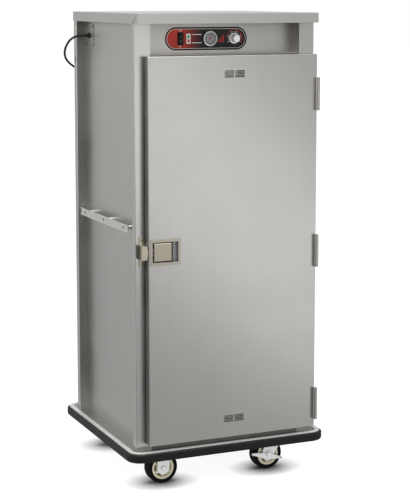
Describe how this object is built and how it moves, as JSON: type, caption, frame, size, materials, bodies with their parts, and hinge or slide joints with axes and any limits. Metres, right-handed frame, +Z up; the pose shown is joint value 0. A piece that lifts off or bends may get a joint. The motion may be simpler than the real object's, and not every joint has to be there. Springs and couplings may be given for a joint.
{
  "type": "heated banquet cabinet",
  "caption": "Tall insulated stainless heated banquet cabinet on casters, with a hinged front door, recessed top controls, side push bars and a wrap-around bumper.",
  "frame": {"origin": "on the floor under the middle of the bumper's outline", "axes": "+X to the right of a viewer who faces the door, -Y out of the door, +Z up"},
  "size_m": [0.8552, 0.834, 1.872],
  "materials": {
    "stainless": "satin brushed stainless sheet",
    "zinc": "bright zinc plate",
    "aluminium": "plain extruded aluminium",
    "chrome": "polished plate",
    "latch_nickel": "warm satin nickel plate",
    "black_plastic": "black moulded plastic",
    "white_plastic": "pale moulded plastic",
    "overlay_print": "printed polycarbonate overlay",
    "green_lens": "green lens",
    "red_lens": "red lens",
    "dial_print": "printed dial",
    "needle_red": "red enamel",
    "glass": "clear flat glass",
    "insulation": "mineral wool",
    "gasket": "extruded silicone",
    "cord_rubber": "black cord jacket",
    "bumper_vinyl": "black vinyl",
    "tyre": "black tread",
    "hub_cream": "cream moulded plastic",
    "element_sheath": "oxidised alloy sheath"
  },
  "bodies": {
    "root": {"base_frame": "stainless", "bumper_rail": "aluminium", "bumper": "bumper_vinyl", "corner_posts": "stainless", "side_panels": "stainless", "rear_panel": "stainless", "top_cap": "stainless", "door_frame_rails": "stainless", "control_fascia": "stainless", "control_overlay": "overlay_print", "switch_bezel": "black_plastic", "lamp_bezel": "white_plastic", "green_lens": "green_lens", "red_lens": "red_lens", "thermometer_case": "chrome", "thermometer_dial": "dial_print", "thermometer_glass": "glass", "thermostat_body": "black_plastic", "cavity_liner": "stainless", "wall_insulation": "insulation", "shelf_uprights": "stainless", "shelves": "chrome", "heater_element": "element_sheath", "heater_cover": "stainless", "cord_plate": "stainless", "cord_gland": "black_plastic", "cord_lead": "cord_rubber", "cord_coil": "cord_rubber", "cord_plug": "black_plastic", "cord_hook": "zinc", "side_handles": "stainless", "handle_spacers": "zinc", "fasteners": "zinc", "latch_strike": "chrome", "hinge_frame_halves": "chrome", "rigid_forks": "zinc", "swivel_plates": "zinc"},
    "door": {"door_skin": "stainless", "door_liner": "stainless", "door_core": "insulation", "door_gasket": "gasket", "hinge_door_halves": "chrome", "latch_case": "latch_nickel"},
    "paddle": {"latch_paddle": "latch_nickel"},
    "bolt": {"latch_bolt": "zinc"},
    "rocker": {"switch_rocker": "black_plastic"},
    "knob": {"thermostat_knob": "chrome"},
    "needle": {"thermometer_needle": "needle_red"},
    "swivel_front": {"swivel_fork_front": "zinc"},
    "swivel_rear": {"swivel_fork_rear": "zinc"},
    "wheel_front_left": {"hub_front_left": "hub_cream", "tyre_front_left": "tyre"},
    "wheel_rear_left": {"hub_rear_left": "hub_cream", "tyre_rear_left": "tyre"},
    "wheel_front_right": {"hub_front_right": "hub_cream", "tyre_front_right": "tyre"},
    "wheel_rear_right": {"hub_rear_right": "hub_cream", "tyre_rear_right": "tyre"},
    "pedal_front": {"brake_pedal_front": "zinc"},
    "pedal_rear": {"brake_pedal_rear": "zinc"}
  },
  "joints": [
    {"name": "door_swing", "type": "hinge", "parent": "root", "child": "door", "pos_m": [0.377, -0.4066, 0.9185], "axis": [0, 0, 1], "range_deg": [0, 180]},
    {"name": "latch_pull", "type": "hinge", "parent": "door", "child": "paddle", "pos_m": [-0.32, -0.3945, 0.955], "axis": [0, 0, -1], "range_deg": [0, 45], "stiffness_Nm_per_rad": 0.4},
    {"name": "bolt_slide", "type": "slide", "parent": "door", "child": "bolt", "axis": [1, 0, 0], "range_m": [0, 0.0099]},
    {"name": "switch_rock", "type": "hinge", "parent": "root", "child": "rocker", "pos_m": [-0.165, -0.2853, 1.772], "axis": [-1, 0, 0], "range_deg": [0, 20]},
    {"name": "thermostat_turn", "type": "hinge", "parent": "root", "child": "knob", "pos_m": [0.065, -0.3, 1.772], "axis": [0, 1, 0], "range_deg": [0, 300]},
    {"name": "needle_turn", "type": "hinge", "parent": "root", "child": "needle", "pos_m": [-0.039, -0.288, 1.772], "axis": [0, 1, 0], "range_deg": [-175, 95]},
    {"name": "swivel_front_turn", "type": "hinge", "parent": "root", "child": "swivel_front", "pos_m": [0.252, -0.28, 0.14], "axis": [0, 0, 1], "continuous": true},
    {"name": "swivel_rear_turn", "type": "hinge", "parent": "root", "child": "swivel_rear", "pos_m": [0.252, 0.28, 0.14], "axis": [0, 0, 1], "continuous": true},
    {"name": "wheel_front_left_roll", "type": "hinge", "parent": "root", "child": "wheel_front_left", "pos_m": [-0.252, -0.28, 0.0635], "axis": [0, 1, 0], "continuous": true},
    {"name": "wheel_rear_left_roll", "type": "hinge", "parent": "root", "child": "wheel_rear_left", "pos_m": [-0.252, 0.28, 0.0635], "axis": [0, 1, 0], "continuous": true},
    {"name": "wheel_front_right_roll", "type": "hinge", "parent": "swivel_front", "child": "wheel_front_right", "pos_m": [0.214, -0.28, 0.0635], "axis": [0, 1, 0], "continuous": true},
    {"name": "wheel_rear_right_roll", "type": "hinge", "parent": "swivel_rear", "child": "wheel_rear_right", "pos_m": [0.214, 0.28, 0.0635], "axis": [0, 1, 0], "continuous": true},
    {"name": "pedal_front_tip", "type": "hinge", "parent": "swivel_front", "child": "pedal_front", "pos_m": [0.214, -0.28, 0.0635], "axis": [0, -1, 0], "range_deg": [0, 27]},
    {"name": "pedal_rear_tip", "type": "hinge", "parent": "swivel_rear", "child": "pedal_rear", "pos_m": [0.214, 0.28, 0.0635], "axis": [0, -1, 0], "range_deg": [0, 27]}
  ],
  "couplings": [
    {"joint": "bolt_slide", "follows": "latch_pull", "m_per_rad": 0.0125}
  ]
}
